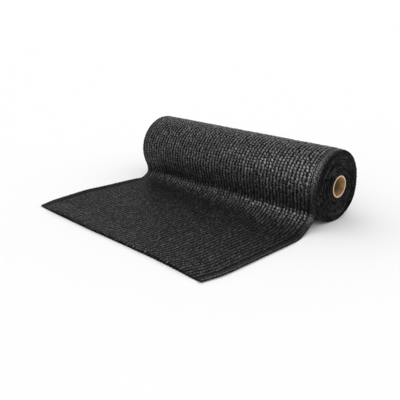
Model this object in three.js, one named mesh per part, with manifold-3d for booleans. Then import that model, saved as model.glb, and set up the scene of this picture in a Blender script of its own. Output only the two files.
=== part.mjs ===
// Roll of knitted shade net: one length of net wound on a cardboard core, its loose end on the floor.
// Millimetres, +Z up. The roll lies along X and the loose end lies towards -Y.
import * as THREE from "three";
import { mergeVertices } from "three/addons/utils/BufferGeometryUtils.js";
import Module from "manifold-3d";

const NET = {
  width: 1000, // across the roll, from edge to edge
  ground: 2, // thickness in the furrows between the ribs
  ribs: 56, // knitted ribs between the two selvedges
  ribHeight: 1.6,
  firstRib: 41.3, // from each edge to the middle of the nearest rib
  selvedge: 22, // width of the close-knit band along each edge
  selvedgeRaise: 1.2,
  cutEnd: -730, // where the loose end stops, measured from the roll's axis
  color: 0x1d1e20,
  roughness: 0.6,
};
const ROLL = {
  radius: 141.5, // of the outermost turn, in the furrows
  axisHeight: 139.5, // of the outermost turn
  flatHalf: 12, // half the width of the flat spot that it rests on
  dome: 9, // how far the innermost turns stand out of the outermost ones at each end
  domeRadius: 136, // where that rise begins
};
const CORE = {
  bore: 76,
  wall: 5,
  axisHeight: 141,
  proud: 1, // how far each end stands out of the innermost turns
  gap: 0.3, // between the core and the first turn
  sides: 48,
  color: 0xc7a982,
  roughness: 0.85,
};
const SINK = 1; // how far a solid that is joined to another reaches into it
const WELD = 1e-3; // points nearer than this are one point

// How the outermost turn comes off the roll, at three places across the net.
// leave: degrees below the horizontal where it leaves the roll. neckY, neckZ: where it hangs plumb.
// floorY: where it lies down on the floor.
const LAY = [
  { across: -500, leave: 24, neckY: -117, neckZ: 37, floorY: -173 },
  { across: 0, leave: 16, neckY: -127, neckZ: 52, floorY: -225 },
  { across: 500, leave: 9, neckY: -136, neckZ: 65, floorY: -277 },
];
// The two edges of the loose end, from its cut end back to the roll.
const EDGES = [
  { y: -730, left: -465, right: 508 },
  { y: -706, left: -473, right: 513 },
  { y: -671, left: -485, right: 520 },
  { y: -554, left: -505, right: 524 },
  { y: -470, left: -516, right: 524 },
  { y: -401, left: -510, right: 524 },
  { y: -277, left: -503, right: 518 },
  { y: -173, left: -496, right: 503 },
  { y: -135, left: -500, right: 500 },
];

// How finely each stretch of the net's section is cut.
const STEPS = { floor: 6, foot: 5, hang: 2, turn: 15, under: 3 };

const wasm = await Module();
wasm.setup();

// The row that lies between a table's rows at a place along one of its columns.
function rowAt(table, column, place) {
  const after = table.findIndex((row) => row[column] >= place);
  if (after <= 0) return table.at(after);
  const [low, high] = [table[after - 1], table[after]];
  const share = (place - low[column]) / (high[column] - low[column]);
  const row = {};
  for (const name in low) row[name] = THREE.MathUtils.lerp(low[name], high[name], share);
  return row;
}

// A point of the section on the roll: degrees from +Y towards +Z, and a radius about the roll's axis.
function onRoll(degrees, radius) {
  const angle = THREE.MathUtils.degToRad(degrees);
  return new THREE.Vector2(radius * Math.cos(angle), ROLL.axisHeight + radius * Math.sin(angle));
}

// One face of the loose end, from the cut end to where it leaves the roll.
// Offset is its height over the net's furrows, so it is negative for the lower face.
function looseFace(lay, offset) {
  const floor = new THREE.LineCurve(
    new THREE.Vector2(NET.cutEnd, NET.ground + offset),
    new THREE.Vector2(lay.floorY, NET.ground + offset),
  );
  const footWidth = lay.neckY - lay.floorY - offset;
  const footHeight = lay.neckZ - NET.ground - offset;
  const foot = new THREE.EllipseCurve(lay.floorY, lay.neckZ, footWidth, footHeight, -Math.PI / 2, 0);
  const neck = new THREE.Vector2(lay.neckY - offset, lay.neckZ);
  const leave = onRoll(180 + lay.leave, ROLL.radius + offset);
  const third = neck.distanceTo(leave) / 3;
  const tangent = onRoll(90 + lay.leave, third).sub(onRoll(0, 0));
  const hang = new THREE.CubicBezierCurve(
    neck,
    new THREE.Vector2(neck.x, neck.y + third),
    leave.clone().sub(tangent),
    leave,
  );
  return [
    ...floor.getPoints(STEPS.floor),
    ...foot.getPoints(STEPS.foot).slice(1),
    ...hang.getPoints(STEPS.hang).slice(1),
  ];
}

// The outermost turn, from where the loose end leaves it, over the top and under to the same place.
// It winds inwards by one thickness of the net, and is flat where the roll rests.
function outerTurn(lay, raise) {
  const start = 180 + lay.leave;
  const flatAngle = THREE.MathUtils.radToDeg(Math.asin(ROLL.flatHalf / ROLL.radius));
  const wound = (degrees) => ROLL.radius - (NET.ground * (start - degrees)) / 360;
  const points = [];
  for (let i = 1; i < STEPS.turn; i++) {
    const degrees = THREE.MathUtils.lerp(start, flatAngle - 90, i / STEPS.turn);
    points.push(onRoll(degrees, wound(degrees) + raise));
  }
  points.push(new THREE.Vector2(ROLL.flatHalf, 0), new THREE.Vector2(-ROLL.flatHalf, 0));
  for (let i = 1; i < STEPS.under; i++) {
    const degrees = THREE.MathUtils.lerp(-flatAngle - 90, start - 360, i / STEPS.under);
    points.push(onRoll(degrees, wound(degrees)));
  }
  return points;
}

// The net's whole section at one place across it, as points in space. The loose end follows its own edges.
function section({ across, raise }) {
  const lay = rowAt(LAY, "across", across);
  const share = across / NET.width + 0.5;
  const widen = (point) => {
    const edge = rowAt(EDGES, "y", Math.min(point.x, EDGES.at(-1).y));
    return new THREE.Vector3(THREE.MathUtils.lerp(edge.left, edge.right, share), point.x, point.y);
  };
  return [
    ...looseFace(lay, raise).map(widen),
    ...outerTurn(lay, raise).map((point) => new THREE.Vector3(across, point.x, point.y)),
    ...looseFace(lay, -NET.ground).map(widen).reverse(),
  ];
}

// Places across the net with the height of its face there: selvedge, furrow, then rib and furrow in turn.
function placesAcross() {
  const edge = NET.width / 2;
  const inner = edge - NET.selvedge;
  const first = edge - NET.firstRib;
  const pitch = (2 * first) / (NET.ribs - 1);
  const near = [
    { across: edge, raise: NET.selvedgeRaise },
    { across: inner, raise: NET.selvedgeRaise },
    { across: inner - NET.selvedgeRaise, raise: 0 },
  ];
  const places = near.map(({ across, raise }) => ({ across: -across, raise }));
  for (let i = 0; i < NET.ribs; i++) {
    places.push({ across: -first + (i - 0.5) * pitch, raise: 0 });
    places.push({ across: -first + i * pitch, raise: NET.ribHeight });
  }
  places.push({ across: first + pitch / 2, raise: 0 });
  places.push(...near.reverse());
  return places;
}

// A closed skin over sections of equal length, with a flat cut at each end.
function loft(sections) {
  const count = sections[0].length;
  const index = [];
  for (let i = 0; i + 1 < sections.length; i++) {
    for (let j = 0; j < count; j++) {
      const next = (j + 1) % count;
      const [a, b] = [i * count + j, i * count + next];
      index.push(a, a + count, b + count, a, b + count, b);
    }
  }
  for (const [first, facing] of [[0, -1], [(sections.length - 1) * count, 1]]) {
    const outline = sections[first / count].map((point) => new THREE.Vector2(point.y, point.z));
    for (const face of THREE.ShapeUtils.triangulateShape(outline, [])) {
      const turned = Math.sign(THREE.ShapeUtils.area(face.map((k) => outline[k]))) !== facing;
      index.push(...(turned ? face.reverse() : face).map((k) => first + k));
    }
  }
  return new THREE.BufferGeometry().setFromPoints(sections.flat()).setIndex(index);
}

// A closed geometry as a solid that can be cut.
function solidOf(geometry) {
  const bare = geometry.clone();
  bare.deleteAttribute("normal");
  bare.deleteAttribute("uv");
  const merged = mergeVertices(bare, WELD);
  return new wasm.Manifold(
    new wasm.Mesh({
      numProp: 3,
      vertProperties: merged.getAttribute("position").array,
      triVerts: new Uint32Array(merged.getIndex().array),
    }),
  );
}

function geometryOf(solid) {
  const { vertProperties, triVerts } = solid.getMesh();
  const geometry = new THREE.BufferGeometry();
  geometry.setAttribute("position", new THREE.BufferAttribute(vertProperties, 3));
  geometry.setIndex(new THREE.BufferAttribute(triVerts, 1));
  return geometry;
}

// A round solid along X, about the core's axis, from a wide end to a narrow one that faces +X or -X.
function roundSolid(wide, narrow, length, facing) {
  return new THREE.CylinderGeometry(narrow, wide, length, CORE.sides)
    .rotateZ((-facing * Math.PI) / 2)
    .translate(0, 0, CORE.axisHeight);
}

// The low dome that the inner turns make at one end of the roll.
function dome(facing) {
  const length = ROLL.dome + SINK;
  const middle = NET.width / 2 - SINK + length / 2;
  return solidOf(roundSolid(ROLL.domeRadius, CORE.bore / 2, length, facing).translate(facing * middle, 0, 0));
}

function makeNet() {
  const wound = solidOf(loft(placesAcross().map(section)));
  const boreRadius = CORE.bore / 2 + CORE.wall + CORE.gap;
  const bore = solidOf(roundSolid(boreRadius, boreRadius, 2 * NET.width, 1));
  const { color, roughness } = NET;
  const material = new THREE.MeshStandardMaterial({ color, roughness, metalness: 0 });
  const net = new THREE.Mesh(geometryOf(wound.add(dome(1)).add(dome(-1)).subtract(bore)), material);
  net.name = "net";
  return net;
}

function makeCore() {
  const inner = CORE.bore / 2;
  const outer = inner + CORE.wall;
  const end = NET.width / 2 + ROLL.dome + CORE.proud;
  const profile = [[inner, -end], [outer, -end], [outer, end], [inner, end], [inner, -end]];
  const tube = new THREE.LatheGeometry(
    profile.map(([radius, along]) => new THREE.Vector2(radius, along)),
    CORE.sides,
  );
  const { color, roughness } = CORE;
  const material = new THREE.MeshStandardMaterial({ color, roughness, metalness: 0 });
  const core = new THREE.Mesh(tube, material);
  core.name = "core";
  core.rotation.z = -Math.PI / 2;
  core.position.z = CORE.axisHeight;
  return core;
}

// The part's origin is on the floor, under the middle of everything that lies there.
const roll = new THREE.Group();
roll.add(makeNet(), makeCore());
const box = new THREE.Box3().setFromObject(roll);
const middle = box.getCenter(new THREE.Vector3());
roll.position.set(-middle.x, -middle.y, -box.min.z);

const shadeNet = new THREE.Group();
shadeNet.add(roll);

export default shadeNet;
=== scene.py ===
"""Roll of black knitted shade net on a cardboard core, its loose end run out on the floor.

Metres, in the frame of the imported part: +X along the roll towards its near end, -Y the way the
loose end is run out, +Z up.
"""

import math

import bpy
import numpy as np
from mathutils import Matrix, Vector


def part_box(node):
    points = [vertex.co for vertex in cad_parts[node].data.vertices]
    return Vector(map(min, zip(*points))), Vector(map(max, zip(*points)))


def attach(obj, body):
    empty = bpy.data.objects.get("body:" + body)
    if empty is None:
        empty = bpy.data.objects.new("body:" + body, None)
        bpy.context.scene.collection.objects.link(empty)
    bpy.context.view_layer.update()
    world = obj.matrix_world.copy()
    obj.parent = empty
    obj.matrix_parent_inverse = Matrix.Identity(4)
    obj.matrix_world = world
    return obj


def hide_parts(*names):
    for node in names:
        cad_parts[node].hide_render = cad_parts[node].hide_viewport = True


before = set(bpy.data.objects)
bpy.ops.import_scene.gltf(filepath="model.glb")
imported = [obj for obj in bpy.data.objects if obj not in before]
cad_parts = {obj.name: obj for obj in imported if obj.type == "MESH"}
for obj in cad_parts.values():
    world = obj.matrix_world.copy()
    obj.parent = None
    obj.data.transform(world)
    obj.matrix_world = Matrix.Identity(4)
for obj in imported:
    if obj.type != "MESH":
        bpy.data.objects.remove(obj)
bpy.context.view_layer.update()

rng = np.random.default_rng(seed=20)

# The core that the net is wound on.
core_low, core_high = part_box("core")
AXIS = (core_low + core_high) / 2
UNDER_AXIS = Vector((AXIS.x, AXIS.y, 0))  # on the floor
CORE_OUTER = (core_high.z - core_low.z) / 2
CORE_HALF = (core_high.x - core_low.x) / 2
CORE_WALL = 0.005
CORE_BORE = CORE_OUTER - CORE_WALL
CORE_SIDES = 128
CORE_RIM = 0.0006  # rounding of its edges
CORE_PLIES = 5
# One ply at a cut end: share of the way through it, and how far back from the end.
PLY_PROFILE = ((0.06, 0.0003), (0.25, 0.0), (0.75, 0.0), (0.94, 0.0003))
BORE_RINGS = 60
BORE_FROM = 0.002  # from the ends of the tube to the first of those rings
SEAM_PITCH = 0.14  # of the last ply's seam, along the bore
SEAM_STEP = 0.0004
SEAM_RISE = 0.02  # share of a turn in which that step rises
PAINTED_SHADE_DEPTH = 0.045  # over which painted shade darkens the paper inside, from each mouth
PALE_CUT = 1.0  # how much the cut ends, the rims of the bore and the outside show of the pale cut paper
PALE_RIM = 0.6
PALE_OUTSIDE = 0.4

# The net.
WIDTH = 1.0
GROUND = 0.0013  # thickness in the furrows between the ribs
RIBS = 56
FIRST_RIB = 0.0413  # from each edge to the middle of the nearest rib
RIB_PITCH = (WIDTH - 2 * FIRST_RIB) / (RIBS - 1)
RIB_RAISE = 0.0013  # of the ground under each row of stitches
RIB_CREST = RIB_PITCH / 3  # width of the top of that
ROLL_RADIUS = 0.1415  # of the outermost turn, in the furrows
TUCK_ACROSS = (-0.5, -0.47, 0.46, 0.485, 0.5)
TUCK = (0.0008, 0.0, 0.0, -0.0008, -0.0030)  # how that radius changes towards the ends of the roll
ROLL_HEIGHT = 0.1395  # of its axis

# Height of the net's face over its furrows, by distance in from an edge: a lip that curls in, a close
# band, and the first furrow.
SELVEDGE_PROFILE = (
    (0.0, 0.0002), (0.0010, 0.0014), (0.0026, 0.0023), (0.0055, 0.0026), (0.0085, 0.0022),
    (0.0105, 0.0014), (0.0130, 0.0012), (0.0175, 0.0014), (0.0220, 0.0014), (0.0250, 0.0011),
    (0.0270, 0.0003), (0.0285, 0.0), (0.0330, 0.0),
)

# How the outermost turn comes off the roll, at three places across the net: degrees below the
# horizontal where it leaves the roll, where it hangs plumb, and where it lies down on the floor.
LAY_ACROSS = (-0.5, 0.0, 0.5)
LAY_LEAVE = (24, 16, 9)
LAY_NECK_Y = (-0.117, -0.127, -0.136)
LAY_NECK_Z = (0.037, 0.052, 0.065)
LAY_FLOOR_Y = (-0.173, -0.225, -0.277)

# The two edges of the loose end, from its cut end back to the roll.
EDGE_Y = (-0.730, -0.706, -0.671, -0.554, -0.470, -0.401, -0.277, -0.173, -0.135)
EDGE_LEFT = (-0.465, -0.473, -0.485, -0.503, -0.512, -0.505, -0.4975, -0.494, -0.500)
EDGE_RIGHT = (0.508, 0.513, 0.520, 0.524, 0.524, 0.524, 0.5215, 0.503, 0.500)
EDGE_LIFT = 0.0035
EDGE_LIFT_RUN = 0.030
EDGE_STRAY = 0.004  # of the near edge out of the roll, about a place low at its back
EDGE_STRAY_AT = -38  # degrees round from the back
EDGE_STRAY_RUN = 45

# The cut end: its line across the net, and the low arch in which it turns down to the floor, by the
# set that the roll gave it.
CUT_ACROSS = (-0.50, -0.38, -0.28, -0.12, 0.0, 0.10, 0.29, 0.41, 0.50)
CUT_Y = (-0.727, -0.729, -0.730, -0.7305, -0.728, -0.7265, -0.7258, -0.7305, -0.736)
CUT_ARCH = (0.0, 0.011, 0.011, 0.010, 0.009, 0.009, 0.009, 0.008, 0.0)  # its height
CUT_ARCH_RUN = 0.110
CUT_TURN = 0.005  # length of the turn down
CUT_TURN_STEPS = 8

# Steps along the net's section: floor, foot, hang, and round the roll.
FLOOR_STEPS = 56
FOOT_STEPS = 22
HANG_STEPS = 12
TURN_STEPS = 120
LEAVE_STEP = FLOOR_STEPS + FOOT_STEPS + HANG_STEPS
LAST_STEP = LEAVE_STEP + TURN_STEPS

# Where the net is slack: on the floor, and in the crease over the foot, where its duller sheen is also
# painted shade.
SLACK_STEPS = 20  # of the foot, over which the net draws taut
CREASE_STEP = FLOOR_STEPS + FOOT_STEPS + 2  # the middle of the crease
CREASE_STEPS = 10  # to each side of that
# How slack the crease is; the sheen this takes away there is painted shade.
CREASE_SLACK_AND_SHADE = 0.82
SLACK_LOW = 0.50  # how much lower slack stitches are
SLACK_ROUGH = 0.09  # how much rougher
SLACK_SHINE = 0.24  # and how much of their sheen they keep

# A row of stitches: half the length, width and height of one, their spacing along the row, their
# slant to it in degrees, the height of their middles over the furrows, and how slack they are where
# the net is taut and where it is slack.
RIB_ROW = {
    "half": (0.0072, 0.0048, 0.0027), "spacing": 0.0122, "slant": 36, "lift": 0.0006, "slack": (0, 0.88),
}
LOOP_ROW = {
    "half": (0.0042, 0.0014, 0.0014), "spacing": 0.0112, "slant": 20, "lift": 0.0006, "slack": (0.6, 0.6),
}
LIP_ROW = {
    "half": (0.0044, 0.0016, 0.0011), "spacing": 0.0080, "slant": 20, "lift": 0.0021, "slack": (0.7, 0.35),
}
BAND_ROW = {
    "half": (0.0034, 0.0014, 0.0010), "spacing": 0.0062, "slant": 30, "lift": 0.0011, "slack": (0, 1),
}
FURROW_ROW = {
    "half": (0.0046, 0.0027, 0.0018), "spacing": 0.0086, "slant": 30, "lift": 0.0003, "slack": (0.35, 1),
}

# How far in from each edge the rows that follow it are.
LOOP_INSETS = (0.0012,)
LIP_INSETS = (0.0042, 0.0075)
BAND_INSETS = (0.0125, 0.0160, 0.0195, 0.0230)
FURROW_INSET = 0.0315

# One stitch: the rings of its upper side, as shares of its outline and height, and the middle of its
# underside.
STITCH_RINGS = ((0.84, 0.97), (0.97, 0.62), (1.0, 0.0))
STITCH_UNDER = -0.1
STITCH_SIDES = 6

# How much stitches vary: a range, or a spread about the mean.
STITCH_FIRST = (0.35, 0.65)  # share of a spacing at which a row begins
STITCH_ALONG = 0.0008
STITCH_ACROSS = 0.28  # share of a half width
STITCH_LIFT = 0.0003
STITCH_SLANT = 0.22  # radians
STITCH_PITCH = 0.05  # slope along it
STITCH_ROLL = 0.06  # slope across it
STITCH_SIZE = 0.12  # share of its size
STITCH_SIZE_LIMITS = (0.7, 1.3)
STITCH_TONE = (1.2, 2.4)  # of a beta distribution of shades, more of them dark
STITCH_SHINE = (0.65, 1.6)  # share of its sheen that the darkest and the lightest stitch has

# The wound turns under the outermost one, as they show at each end of the roll.
END_TURNS = 40
END_STEPS_A_TURN = 4
END_SIDES = 240
END_GAP = 0.0003  # from the tube to the innermost turn
END_UNDER = 1.1  # thicknesses of the net from the outermost turn's face to the turns under it
END_RISE = 0.009  # of the innermost turns over the edge of the outermost one
END_RISE_RADIUS = 0.136  # where that rise begins
END_RISE_MOST = 0.94  # share of it at which it levels out
END_RECESS = 0.0035  # of the turns next to the outermost one
END_RECESS_WIDTH = 0.008
END_SETTLE = 0.05  # share of the turns, next to the tube, that lie more even
END_GROUPS = 0.0012  # how far a group of turns wanders out of the next
END_LOOSE = 0.0007  # how far a turn wanders out of its neighbours
END_LOOPS = 0.0008  # how uneven the loops along its edge are
END_CROWN = 0.0008  # how far its edge stands out between its neighbours

# Groups, turns, loops and flecks of shade: the steps and turns that each is smooth over, and how much
# it lightens the edges.
END_RUNS = ((24, 7), (60, 2), (3, 1), (5, 4))
END_SHADES = (0.12, 0.2, 0.15, 0.22)
END_SHADE = 0.3  # without those
END_CONTRAST = 1.9

# The ground of the net, taut and slack: two stops of place in a noise and grey, and so for its gloss.
# Where the noise is low the ground is dull and dark: painted shade for the holes in the net.
GROUND_TAUT = ((0.3, 0.002), (0.7, 0.006))
GROUND_SLACK = ((0.3, 0.003), (0.7, 0.007))
GLOSS_TAUT = ((0.44, 0.01), (0.58, 0.25))
GLOSS_SLACK = ((0.44, 0.03), (0.56, 0.07))
BLUE_CAST = 1.03  # of every grey

# The tube at its mouths, in painted shade deep inside, and where it is cut: two stops of place in a noise
# and colour.
CARD_MOUTH = ((0.3, (0.36, 0.208, 0.092, 1)), (0.7, (0.66, 0.413, 0.200, 1)))
CARD_PAINTED_SHADE = ((0.3, (0.155, 0.089, 0.038, 1)), (0.7, (0.29, 0.178, 0.083, 1)))
CARD_CUT = ((0.25, (0.62, 0.48, 0.335, 1)), (0.75, (0.73, 0.59, 0.435, 1)))

# Camera, from the roll's axis on the floor.
CAMERA_FROM_AXIS = Vector((1.57837, -1.78043, 0.77893))
CAMERA_YAW = math.radians(45.7986)
CAMERA_PITCH = math.radians(18.92)
CAMERA_ROLL = math.radians(-0.3562)
CAMERA_LENS = 49.826  # mm
CAMERA_SENSOR = 36  # mm

# The studio. The soft box is aimed at a place from the roll's axis on the floor.
FLOOR_REACH = 30
FLOOR_WHITE = ((0, (0.91, 0.91, 0.91, 1)), (1, (0.92, 0.92, 0.92, 1)))
SKY = 1.09
SKY_LEAN = 0.24  # how much brighter the sky is on one side than in the middle
SKY_LEAN_WAY = Vector((-0.53, 0.85, 0))
SKY_LEAN_FROM = (0.12, 0.35)  # heights on a sky of radius 1, between which that sets in
BOX_AIM = Vector((0.50, -0.12, 0.18))
BOX_AZIMUTH = math.radians(-32)  # round from -Y towards +X
BOX_ELEVATION = math.radians(48)
BOX_DISTANCE = 1.0
BOX_WIDE = 0.45
BOX_HIGH = 1.3
BOX_POWER = 15.5


def smooth(place, places, values):
    """Values between the given places, on a curve with no kinks."""
    places, values = np.asarray(places, float), np.asarray(values, float)
    slopes = np.gradient(values, places)
    place = np.clip(place, places[0], places[-1])
    low = np.clip(np.searchsorted(places, place) - 1, 0, len(places) - 2)
    gap = places[low + 1] - places[low]
    t = (place - places[low]) / gap
    start = (1 + 2 * t) * (1 - t) ** 2 * values[low] + t * (1 - t) ** 2 * gap * slopes[low]
    end = t * t * (3 - 2 * t) * values[low + 1] - t * t * (1 - t) * gap * slopes[low + 1]
    return start + end


def ease(share):
    """A soft step from 0 to 1."""
    share = np.clip(share, 0, 1)
    return share * share * (3 - 2 * share)


def on_roll(degrees, radius):
    """Y and Z on the roll, degrees from +Y towards +Z, from the axis on the floor."""
    angle = np.radians(degrees)
    return radius * np.cos(angle), ROLL_HEIGHT + radius * np.sin(angle)


def floor_run(across, floor_y):
    """Y and Z over the floor. Steps are closer together in the turn at the cut end."""
    cut_y = smooth(across, CUT_ACROSS, CUT_Y)
    turn = np.linspace(0, CUT_TURN, CUT_TURN_STEPS, endpoint=False)[None, :]
    t = np.linspace(0, 1, FLOOR_STEPS - CUT_TURN_STEPS + 1)[None, :]
    run = np.concatenate([turn + 0 * cut_y, CUT_TURN + (floor_y - cut_y - CUT_TURN) * t], axis=1)
    arch = ease(1 - run / CUT_ARCH_RUN) * np.sqrt(1 - (1 - np.clip(run / CUT_TURN, 0, 1)) ** 2)
    return cut_y + run, GROUND + smooth(across, CUT_ACROSS, CUT_ARCH) * arch


def foot_run(floor_y, neck_y, neck_z):
    """Y and Z up the foot, a quarter of an ellipse."""
    t = np.linspace(0, 1, FOOT_STEPS + 1)[None, 1:]
    angle = (t - 1) * math.pi / 2
    return floor_y + (neck_y - floor_y) * np.cos(angle), neck_z + (neck_z - GROUND) * np.sin(angle)


def hang_run(neck_y, neck_z, start, radius):
    """Y and Z from where the net hangs plumb up to where it leaves the roll, on one cubic curve."""
    t = np.linspace(0, 1, HANG_STEPS + 1)[None, 1:]
    leave_y, leave_z = on_roll(start, radius)
    third = np.hypot(leave_y - neck_y, leave_z - neck_z) / 3
    back_y, back_z = third * np.sin(np.radians(start)), -third * np.cos(np.radians(start))
    weights = (1 - t) ** 3, 3 * t * (1 - t) ** 2, 3 * t * t * (1 - t), t**3
    y = sum(w * p for w, p in zip(weights, (neck_y, neck_y, leave_y - back_y, leave_y)))
    z = sum(w * p for w, p in zip(weights, (neck_z, neck_z + third, leave_z - back_z, leave_z)))
    return y, z


def turn_run(start, radius):
    """Y and Z once round the roll, which lies flat where it rests on the floor."""
    t = np.linspace(0, 1, TURN_STEPS + 1)[None, 1:]
    y, z = on_roll(start - 360 * t, radius - GROUND * t)
    return y, np.maximum(z, 0)


def section(across):
    """Points of the net's outer face, in its furrows, along its length at places across it.

    Returns an array (places, steps, 3) from the cut end, over the floor, up the roll and round it.
    """
    across = np.asarray(across, float)[:, None]
    leave, neck_y, neck_z, floor_y = (
        np.interp(across, LAY_ACROSS, row) for row in (LAY_LEAVE, LAY_NECK_Y, LAY_NECK_Z, LAY_FLOOR_Y)
    )
    start = 180 + leave
    radius = ROLL_RADIUS + np.interp(across, TUCK_ACROSS, TUCK)
    runs = (
        floor_run(across, floor_y),
        foot_run(floor_y, neck_y, neck_z),
        hang_run(neck_y, neck_z, start, radius),
        turn_run(start, radius),
    )
    y, z = (np.concatenate(parts, axis=1) for parts in zip(*runs))
    loose = np.arange(LAST_STEP + 1)[None, :] <= LEAVE_STEP
    near_edge = ease(1 - (WIDTH / 2 - np.abs(across)) / EDGE_LIFT_RUN)
    z = z + EDGE_LIFT * near_edge * ease((floor_y - y) / EDGE_LIFT_RUN) * loose
    edge_y = np.where(loose, np.minimum(y, EDGE_Y[-1]), EDGE_Y[-1])
    left, right = smooth(edge_y, EDGE_Y, EDGE_LEFT), smooth(edge_y, EDGE_Y, EDGE_RIGHT)
    round_roll = np.degrees(np.arctan2(z - ROLL_HEIGHT, y))
    stray = EDGE_STRAY * ease(1 - np.abs(round_roll - EDGE_STRAY_AT) / EDGE_STRAY_RUN)
    right = right + np.where(loose, 0, stray)
    x = left + (right - left) * (across / WIDTH + 0.5)
    return np.stack([x + AXIS.x, y + AXIS.y, z], axis=2)


def slackness():
    """How slack the net is at each step along its section, from 0 where it is drawn tight to 1. In the
    crease, the sheen it takes away is painted shade.
    """
    step = np.arange(LAST_STEP + 1)
    floor = ease((FLOOR_STEPS + SLACK_STEPS - step) / SLACK_STEPS)
    crease = ease(1 - np.abs(CREASE_STEP - step) / CREASE_STEPS)
    return np.maximum(floor, CREASE_SLACK_AND_SHADE * crease)


def along(points):
    """Unit vectors along the net's length."""
    step = np.gradient(points, axis=-2)
    return step / np.linalg.norm(step, axis=-1, keepdims=True)


def outward(points):
    """Unit normals of the net's outer face, in the plane of its section."""
    step = along(points)
    normal = np.stack([0 * step[..., 0], -step[..., 2], step[..., 1]], axis=-1)
    return normal / np.linalg.norm(normal, axis=-1, keepdims=True)


def grid_faces(rows, columns, offset=0, turned=False):
    """Quads over a grid of points that is stored row by row."""
    index = np.arange(rows * columns).reshape(rows, columns) + offset
    corners = [index[:-1, :-1], index[1:, :-1], index[1:, 1:], index[:-1, 1:]]
    faces = np.stack(corners, axis=-1).reshape(-1, 4)
    return faces[:, ::-1] if turned else faces


def ring_faces(rings, sides):
    """Quads over closed rings of points, the last ring joined to the first."""
    here = np.arange(rings * sides).reshape(rings, sides)
    there = np.roll(here, -1, 0)
    return np.stack([here, np.roll(here, -1, 1), np.roll(there, -1, 1), there], axis=-1).reshape(-1, 4)


def make_mesh(name, points, faces, material, **values):
    """A smooth mesh piece. Values are named values of its points, from 0 to 1."""
    mesh = bpy.data.meshes.new(name)
    mesh.from_pydata(np.asarray(points).reshape(-1, 3).tolist(), [], np.asarray(faces).tolist())
    mesh.update()
    for key, value in values.items():
        mesh.attributes.new(key, "FLOAT", "POINT").data.foreach_set("value", np.asarray(value, np.float32))
    mesh.shade_smooth()
    mesh.materials.append(material)
    piece = bpy.data.objects.new(name, mesh)
    bpy.context.scene.collection.objects.link(piece)
    return piece


def new_material(name):
    """A node material: its nodes, its links and its shader."""
    material = bpy.data.materials.new(name)
    material.use_nodes = True
    nodes, links = material.node_tree.nodes, material.node_tree.links
    return material, nodes, links, nodes["Principled BSDF"]


def noise_node(nodes, links, scale, detail=3.0):
    """Noise in the part's own coordinates."""
    place = nodes.new("ShaderNodeTexCoord")
    noise = nodes.new("ShaderNodeTexNoise")
    noise.inputs["Scale"].default_value = scale
    noise.inputs["Detail"].default_value = detail
    links.new(place.outputs["Object"], noise.inputs["Vector"])
    return noise.outputs["Fac"]


def value_node(nodes, name):
    """A named value of the mesh's points."""
    value = nodes.new("ShaderNodeAttribute")
    value.attribute_name = name
    return value.outputs["Fac"]


def range_node(nodes, links, value, low, high):
    """A value from 0 to 1, spread from low to high."""
    spread = nodes.new("ShaderNodeMapRange")
    spread.inputs["To Min"].default_value = low
    spread.inputs["To Max"].default_value = high
    links.new(value, spread.inputs["Value"])
    return spread.outputs["Result"]


def product_node(nodes, links, first, second):
    """One value times another."""
    product = nodes.new("ShaderNodeMath")
    product.operation = "MULTIPLY"
    links.new(first, product.inputs[0])
    links.new(second, product.inputs[1])
    return product.outputs["Value"]


def ramp_node(nodes, links, value, stops):
    """A colour over a value, between two stops of place and colour."""
    ramp = nodes.new("ShaderNodeValToRGB")
    for element, (place, colour) in zip(ramp.color_ramp.elements, stops):
        element.position = place
        element.color = colour
    links.new(value, ramp.inputs["Fac"])
    return ramp.outputs["Color"]


def grey_node(nodes, links, value, stops):
    """A grey over a value, between two stops of place and grey."""
    colours = [(place, (shade, shade, shade * BLUE_CAST, 1)) for place, shade in stops]
    return ramp_node(nodes, links, value, colours)


def mix_node(nodes, links, share, first, second):
    """A colour between two others."""
    mix = nodes.new("ShaderNodeMix")
    mix.data_type = "RGBA"
    links.new(share, mix.inputs["Factor"])
    links.new(first, mix.inputs["A"])
    links.new(second, mix.inputs["B"])
    return mix.outputs["Result"]


def bump_node(nodes, links, shader, height, strength, distance):
    """Fine relief in a shader, from a height."""
    bump = nodes.new("ShaderNodeBump")
    bump.inputs["Strength"].default_value = strength
    bump.inputs["Distance"].default_value = distance
    links.new(height, bump.inputs["Height"])
    links.new(bump.outputs["Normal"], shader.inputs["Normal"])


def yarn_material(name, shades, rough, specular, bump):
    """Black plastic yarn: its shade and sheen follow the mesh's tone, and its gloss how slack it is, which
    in the crease is painted shade.
    """
    material, nodes, links, shader = new_material(name)
    tone, slack = value_node(nodes, "tone"), value_node(nodes, "slack")
    shade = grey_node(nodes, links, tone, zip((0, 1), shades))
    links.new(shade, shader.inputs["Base Color"])
    fine = noise_node(nodes, links, scale=800)
    dull = nodes.new("ShaderNodeMath")
    dull.operation = "MULTIPLY_ADD"
    links.new(slack, dull.inputs[0])
    dull.inputs[1].default_value = SLACK_ROUGH
    links.new(range_node(nodes, links, fine, *rough), dull.inputs[2])
    links.new(dull.outputs["Value"], shader.inputs["Roughness"])
    bump_node(nodes, links, shader, fine, bump, distance=0.0008)
    sheen = range_node(nodes, links, slack, specular, specular * SLACK_SHINE)
    uneven = range_node(nodes, links, tone, *STITCH_SHINE)
    shine = product_node(nodes, links, sheen, uneven)
    links.new(shine, shader.inputs["Specular IOR Level"])
    return material


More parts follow.
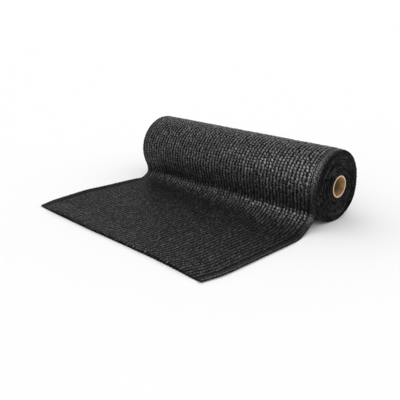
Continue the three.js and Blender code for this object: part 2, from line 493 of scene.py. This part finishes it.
def ground_material():
    """The net under its stitches: glossy yarns with dull dark spots between, painted shade for the holes
    in the net, and duller where it is slack.
    """
    material, nodes, links, shader = new_material("net_ground")
    cloud = noise_node(nodes, links, scale=160)
    slack = value_node(nodes, "slack")
    shades = [grey_node(nodes, links, cloud, stops) for stops in (GROUND_TAUT, GROUND_SLACK)]
    links.new(mix_node(nodes, links, slack, *shades), shader.inputs["Base Color"])
    # Dull spots in the gloss: painted shade for the holes in the net.
    glosses = [grey_node(nodes, links, cloud, stops) for stops in (GLOSS_TAUT, GLOSS_SLACK)]
    links.new(mix_node(nodes, links, slack, *glosses), shader.inputs["Specular IOR Level"])
    fine = noise_node(nodes, links, scale=700)
    bump_node(nodes, links, shader, fine, strength=0.6, distance=0.001)
    shader.inputs["Roughness"].default_value = 0.6
    return material


def card_material():
    """Brown wound paper with fibres, darkened deep inside by painted shade, and paler where it is cut."""
    material, nodes, links, shader = new_material("core_card")
    cloud = noise_node(nodes, links, scale=45, detail=5)
    mouth, deep, cut = (
        ramp_node(nodes, links, cloud, stops) for stops in (CARD_MOUTH, CARD_PAINTED_SHADE, CARD_CUT)
    )
    # Painted shade: the paper darkens from the mouths towards the middle of the bore.
    paper = mix_node(nodes, links, value_node(nodes, "deep"), mouth, deep)
    colour = mix_node(nodes, links, value_node(nodes, "tone"), paper, cut)
    links.new(colour, shader.inputs["Base Color"])
    fibre = noise_node(nodes, links, scale=500, detail=4)
    bump_node(nodes, links, shader, fibre, strength=0.25, distance=0.0004)
    shader.inputs["Roughness"].default_value = 0.85
    shader.inputs["Specular IOR Level"].default_value = 0.2
    return material


def rib_place(number):
    """Where the middle of a rib is across the net."""
    return -WIDTH / 2 + FIRST_RIB + number * RIB_PITCH


def sheet_profile():
    """Places across the net and the height of its face there."""
    left = [(-WIDTH / 2 + inset, raised) for inset, raised in SELVEDGE_PROFILE]
    ribs = []
    for number in range(RIBS):
        middle = rib_place(number)
        ribs += [(middle - RIB_CREST / 2, RIB_RAISE), (middle + RIB_CREST / 2, RIB_RAISE)]
        if number < RIBS - 1:
            ribs.append((middle + RIB_PITCH / 2, 0.0))
    right = [(-place, raised) for place, raised in reversed(left)]
    return np.array(left + ribs + right)


def make_sheet(material):
    """The outermost turn and the loose end, as one thin closed sheet."""
    profile = sheet_profile()
    face = section(profile[:, 0])
    normal = outward(face)
    outer = face + normal * profile[:, 1, None, None]
    inner = face - normal * GROUND
    points = np.concatenate([outer.reshape(-1, 3), inner.reshape(-1, 3)])
    points[:, 2] = np.maximum(points[:, 2], 0)
    rows, columns = face.shape[:2]
    count = rows * columns
    index = np.arange(count).reshape(rows, columns)
    rim = np.concatenate([index[0, :], index[1:, -1], index[-1, -2::-1], index[-2:0:-1, 0]])
    after = np.roll(rim, -1)
    faces = np.concatenate([
        grid_faces(rows, columns),
        grid_faces(rows, columns, count, turned=True),
        np.stack([rim, after, after + count, rim + count], axis=1),
    ])
    return make_mesh("net_sheet", points, faces, material, slack=np.tile(slackness(), 2 * rows))


def stitch_shape():
    """Points and faces of one stitch, a grain with a flat top, of half width 1 and height 1."""
    turn = np.arange(STITCH_SIDES) * 2 * math.pi / STITCH_SIDES
    points = [(0.0, 0.0, 1.0)]
    for reach, height in STITCH_RINGS:
        points += [(reach * math.cos(a), reach * math.sin(a), height) for a in turn]
    under = len(points)
    points.append((0.0, 0.0, STITCH_UNDER))
    faces = [(0, 1 + k, 1 + (k + 1) % STITCH_SIDES) for k in range(STITCH_SIDES)]
    for k in range(STITCH_SIDES):
        n = (k + 1) % STITCH_SIDES
        for ring in range(len(STITCH_RINGS) - 1):
            a, b = 1 + ring * STITCH_SIDES, 1 + (ring + 1) * STITCH_SIDES
            faces += [(a + k, b + k, b + n), (a + k, b + n, a + n)]
        base = 1 + (len(STITCH_RINGS) - 1) * STITCH_SIDES
        faces.append((under, base + n, base + k))
    return np.array(points), np.array(faces)


def rib_rows():
    """Where each rib's row of stitches is across the net, with what it is made of."""
    return [(rib_place(number), RIB_ROW) for number in range(RIBS)]


def furrow_rows():
    """The same for the low row beside each selvedge, which shows only on the roll."""
    return [(side * (WIDTH / 2 - FURROW_INSET), FURROW_ROW) for side in (-1, 1)]


def selvedge_rows():
    """The same for the rows along the two edges."""
    rows = []
    for side in (-1, 1):
        for insets, row in ((LOOP_INSETS, LOOP_ROW), (LIP_INSETS, LIP_ROW), (BAND_INSETS, BAND_ROW)):
            rows += [(side * (WIDTH / 2 - inset), row) for inset in insets]
    return rows


def sample(values, length, places):
    """Vectors given along a line, read at places along its length."""
    return np.stack([np.interp(places, length, values[:, k]) for k in range(3)], axis=1)


def make_stitches(name, material, rows, first, last):
    """Rows of slanted stitches, between two steps of the net's section."""
    shape, shape_faces = stitch_shape()
    points, tones, slacks = [], [], []
    for place, row in rows:
        line = section([place])[0]
        length = np.concatenate([[0], np.cumsum(np.linalg.norm(np.diff(line, axis=0), axis=1))])
        start = length[first] + row["spacing"] * rng.uniform(*STITCH_FIRST)
        places = np.arange(start, length[last], row["spacing"])
        count = len(places)
        places = places + rng.normal(0, STITCH_ALONG, count)
        middle, step, normal = (sample(v, length, places) for v in (line, along(line), outward(line)))
        side = np.cross(step, normal)
        slant = math.radians(row["slant"]) + rng.normal(0, STITCH_SLANT, (count, 1))
        axis = np.cos(slant) * step - np.sin(slant) * side
        axis = axis + normal * rng.normal(0, STITCH_PITCH, (count, 1))
        across = np.sin(slant) * step + np.cos(slant) * side
        across = across + normal * rng.normal(0, STITCH_ROLL, (count, 1))
        sizes = np.array(row["half"]) * rng.normal(1, STITCH_SIZE, (count, 3)).clip(*STITCH_SIZE_LIMITS)
        slack = np.interp(np.interp(places, length, slackness()), (0, 1), row["slack"])
        sizes[:, 2] *= 1 - SLACK_LOW * slack
        middle = middle + normal * (row["lift"] + rng.normal(0, STITCH_LIFT, (count, 1)))
        middle = middle + side * row["half"][1] * rng.normal(0, STITCH_ACROSS, (count, 1))
        grain = middle[:, None, :]
        for k, direction in enumerate((axis, across, normal)):
            grain = grain + direction[:, None, :] * (sizes[:, k, None] * shape[:, k])[..., None]
        points.append(grain.reshape(-1, 3))
        tones.append(np.repeat(rng.beta(*STITCH_TONE, count), len(shape)))
        slacks.append(np.repeat(slack, len(shape)))
    points = np.concatenate(points)
    points[:, 2] = np.maximum(points[:, 2], 0)
    starts = np.arange(len(points) // len(shape)) * len(shape)
    faces = (shape_faces[None] + starts[:, None, None]).reshape(-1, 3)
    tone, slack = np.concatenate(tones), np.concatenate(slacks)
    piece = make_mesh(name, points, faces, material, tone=tone, slack=slack)
    rounded = np.tile(np.arange(len(shape_faces)) >= STITCH_SIDES, len(starts))
    piece.data.polygons.foreach_set("use_smooth", rounded)
    return piece


def spiral_noise(run, turns):
    """Noise along the wound net's edge, smooth over a run of steps and a number of turns."""
    line = rng.normal(0, 1, (END_TURNS + 2) * END_SIDES)
    along_run, over_turns = (np.hanning(count + 2)[1:-1] for count in (run, turns))
    line = np.convolve(line, along_run / np.linalg.norm(along_run), "same")
    noise = line.reshape(END_TURNS + 2, END_SIDES)
    over_turns = over_turns / np.linalg.norm(over_turns)
    return np.apply_along_axis(np.convolve, 0, noise, over_turns, "same")


def make_wound(material):
    """The wound turns under the outermost one, with their loose edges at both ends of the roll."""
    inner = CORE_OUTER + END_GAP
    angle = np.linspace(0, 2 * math.pi, END_SIDES, endpoint=False)
    share = np.linspace(0, 1, END_TURNS * END_STEPS_A_TURN + 1)[:, None]
    rings, tones = [], []
    for end in (-1, 1):
        leave = math.radians(180 + np.interp(end * WIDTH / 2, LAY_ACROSS, LAY_LEAVE))
        behind = np.mod(leave - angle, 2 * math.pi) / (2 * math.pi)
        outer = ROLL_RADIUS - GROUND * (END_UNDER + behind)
        radius = inner + (outer - inner) * share
        height = AXIS.z + (ROLL_HEIGHT - AXIS.z) * share
        turn = share * END_TURNS + angle / (2 * math.pi)
        number = np.floor(turn).astype(int)
        crown = np.sin(math.pi * (turn - number))
        noises = [spiral_noise(run, turns)[number, np.arange(END_SIDES)] for run, turns in END_RUNS]
        groups, wander, loops = noises[:3]
        out = END_GROUPS * groups + END_LOOSE * wander + (END_LOOPS * loops + END_CROWN) * crown
        out = out * ease(share / END_SETTLE)
        risen = (END_RISE_RADIUS - radius) / (END_RISE_RADIUS - inner)
        out = out + END_RISE * np.clip(risen, 0, END_RISE_MOST)
        out = out - END_RECESS * ease((radius - outer) / END_RECESS_WIDTH + 1)
        x = end * (WIDTH / 2 + out)
        y, z = radius * np.cos(angle), np.maximum(height + radius * np.sin(angle), GROUND)
        ring = np.stack([x + AXIS.x, y + AXIS.y, z], axis=2)
        shade = END_SHADE + sum(part * noise for part, noise in zip(END_SHADES, noises))
        # Painted shade between the turns: the tone falls to 0 where each turn's edge meets the next.
        tone = np.clip(shade, 0, 1) ** END_CONTRAST * crown
        rings.append(ring if end < 0 else ring[::-1])
        tones.append(tone if end < 0 else tone[::-1])
    points = np.concatenate(rings)
    faces = ring_faces(len(points), END_SIDES)
    return make_mesh("net_wound", points, faces, material, tone=np.concatenate(tones).ravel())


def core_profile():
    """Radius, place along the tube and paleness, once round the section of its wall."""
    cut = [
        (CORE_BORE + CORE_WALL * (ply + share) / CORE_PLIES, CORE_HALF - back, PALE_CUT)
        for ply in range(CORE_PLIES) for share, back in PLY_PROFILE
    ][1:-1]
    cut[0] = (CORE_BORE + CORE_RIM, CORE_HALF, PALE_CUT)
    cut[-1] = (CORE_OUTER - CORE_RIM, CORE_HALF, PALE_CUT)
    far_cut = [(radius, -x, pale) for radius, x, pale in reversed(cut)]
    shoulder = CORE_HALF - CORE_RIM
    inside = -np.cos(np.linspace(0, math.pi, BORE_RINGS)) * (CORE_HALF - BORE_FROM)
    bore = [(CORE_BORE, -shoulder, PALE_RIM)] + [(CORE_BORE, x, 0.0) for x in inside]
    bore.append((CORE_BORE, shoulder, PALE_RIM))
    outside = [(CORE_OUTER, shoulder, PALE_OUTSIDE), (CORE_OUTER, -shoulder, PALE_OUTSIDE)]
    return np.array(far_cut + bore + cut + outside)


def make_core(material):
    """The paper tube: plies at its cut ends, rounded rims, and the seam of its last ply inside."""
    radius, x, pale = (column[:, None] for column in core_profile().T)
    angle = np.linspace(0, 2 * math.pi, CORE_SIDES, endpoint=False)
    seam = np.mod(x / SEAM_PITCH + angle / (2 * math.pi), 1)
    step = SEAM_STEP * np.clip(seam / SEAM_RISE, 0, 1) * (1 - seam)
    radius = radius - np.where(pale == 0, step, 0)
    places = (x + 0 * radius, radius * np.cos(angle), radius * np.sin(angle))
    points = np.stack(places, axis=2) + np.array(AXIS)
    faces = ring_faces(len(points), CORE_SIDES)
    # Share of painted shade in the bore, from 0 at each mouth to 1 further in.
    deep = np.clip((CORE_HALF - np.abs(x)) / PAINTED_SHADE_DEPTH, 0, 1)
    tone, deep = (np.repeat(value, CORE_SIDES) for value in (pale, deep))
    return make_mesh("core_tube", points, faces, material, tone=tone, deep=deep)


def make_floor():
    """A wide pale floor."""
    material, nodes, links, shader = new_material("studio_floor")
    cloud = noise_node(nodes, links, scale=3)
    links.new(ramp_node(nodes, links, cloud, FLOOR_WHITE), shader.inputs["Base Color"])
    shader.inputs["Roughness"].default_value = 0.9
    shader.inputs["Specular IOR Level"].default_value = 0.0
    corners = [(x * FLOOR_REACH, y * FLOOR_REACH, 0) for x, y in ((-1, -1), (1, -1), (1, 1), (-1, 1))]
    return make_mesh("studio_floor", corners, [(0, 1, 2, 3)], material)


def make_soft_box():
    """A tall light high in front of the near end. It gives sheen, isn't seen and casts no shadow."""
    level = math.cos(BOX_ELEVATION)
    sideways, back = math.sin(BOX_AZIMUTH) * level, -math.cos(BOX_AZIMUTH) * level
    towards = Vector((sideways, back, math.sin(BOX_ELEVATION)))
    light = bpy.data.lights.new("soft_box", "AREA")
    light.energy = BOX_POWER
    light.shape = "RECTANGLE"
    light.size, light.size_y = BOX_WIDE, BOX_HIGH
    box = bpy.data.objects.new("soft_box", light)
    box.rotation_mode = "QUATERNION"
    box.rotation_quaternion = towards.to_track_quat("Z", "Y")
    box.location = UNDER_AXIS + BOX_AIM + towards * BOX_DISTANCE
    box.visible_camera = box.visible_diffuse = False
    bpy.context.scene.collection.objects.link(box)


def make_sky():
    """White surroundings, brighter on one side above the horizon."""
    world = bpy.data.worlds.new("studio")
    world.use_nodes = True
    nodes, links = world.node_tree.nodes, world.node_tree.links
    way = nodes.new("ShaderNodeTexCoord").outputs["Generated"]
    lean = nodes.new("ShaderNodeVectorMath")
    lean.operation = "DOT_PRODUCT"
    lean.inputs[1].default_value = SKY_LEAN_WAY
    links.new(way, lean.inputs[0])
    split = nodes.new("ShaderNodeSeparateXYZ")
    links.new(way, split.inputs["Vector"])
    fade = nodes.new("ShaderNodeMapRange")
    fade.inputs["From Min"].default_value, fade.inputs["From Max"].default_value = SKY_LEAN_FROM
    links.new(split.outputs["Z"], fade.inputs["Value"])
    faded = product_node(nodes, links, lean.outputs["Value"], fade.outputs["Result"])
    strength = nodes.new("ShaderNodeMapRange")
    strength.inputs["From Min"].default_value = -1
    strength.inputs["To Min"].default_value = SKY * (1 - SKY_LEAN)
    strength.inputs["To Max"].default_value = SKY * (1 + SKY_LEAN)
    links.new(faded, strength.inputs["Value"])
    background = nodes["Background"]
    background.inputs["Color"].default_value = (1, 1, 1, 1)
    links.new(strength.outputs["Result"], background.inputs["Strength"])
    bpy.context.scene.world = world


def make_studio():
    """Floor and lights, shown in plain colours."""
    make_floor()
    make_soft_box()
    make_sky()
    bpy.context.scene.view_settings.view_transform = "Standard"
    bpy.context.scene.view_settings.look = "None"


def make_camera():
    """The camera, where the photo was taken from."""
    data = bpy.data.cameras.new("camera")
    data.lens = CAMERA_LENS
    data.sensor_width = CAMERA_SENSOR
    camera = bpy.data.objects.new("camera", data)
    yaw = Matrix.Rotation(CAMERA_YAW, 4, "Z")
    pitch = Matrix.Rotation(math.pi / 2 - CAMERA_PITCH, 4, "X")
    roll = Matrix.Rotation(CAMERA_ROLL, 4, "Z")
    camera.matrix_world = Matrix.Translation(UNDER_AXIS + CAMERA_FROM_AXIS) @ yaw @ pitch @ roll
    bpy.context.scene.collection.objects.link(camera)
    bpy.context.scene.camera = camera


yarn = yarn_material("net_yarn", shades=(0.002, 0.020), rough=(0.40, 0.56), specular=0.81, bump=0.05)
edge_on = yarn_material("net_wound", shades=(0.001, 0.042), rough=(0.52, 0.68), specular=0.10, bump=0.5)
sheet = make_sheet(ground_material())
stitches = [
    make_stitches("net_stitches_end", yarn, rib_rows(), 1, LEAVE_STEP),
    make_stitches("net_stitches_roll", yarn, rib_rows() + furrow_rows(), LEAVE_STEP, LAST_STEP),
    make_stitches("net_stitches_edges", yarn, selvedge_rows(), CUT_TURN_STEPS, LAST_STEP),
]
wound = make_wound(edge_on)
tube = make_core(card_material())
for piece in (sheet, *stitches, wound):
    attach(piece, "root")
    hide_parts("net")
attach(tube, "root")
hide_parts("core")

make_studio()
make_camera()
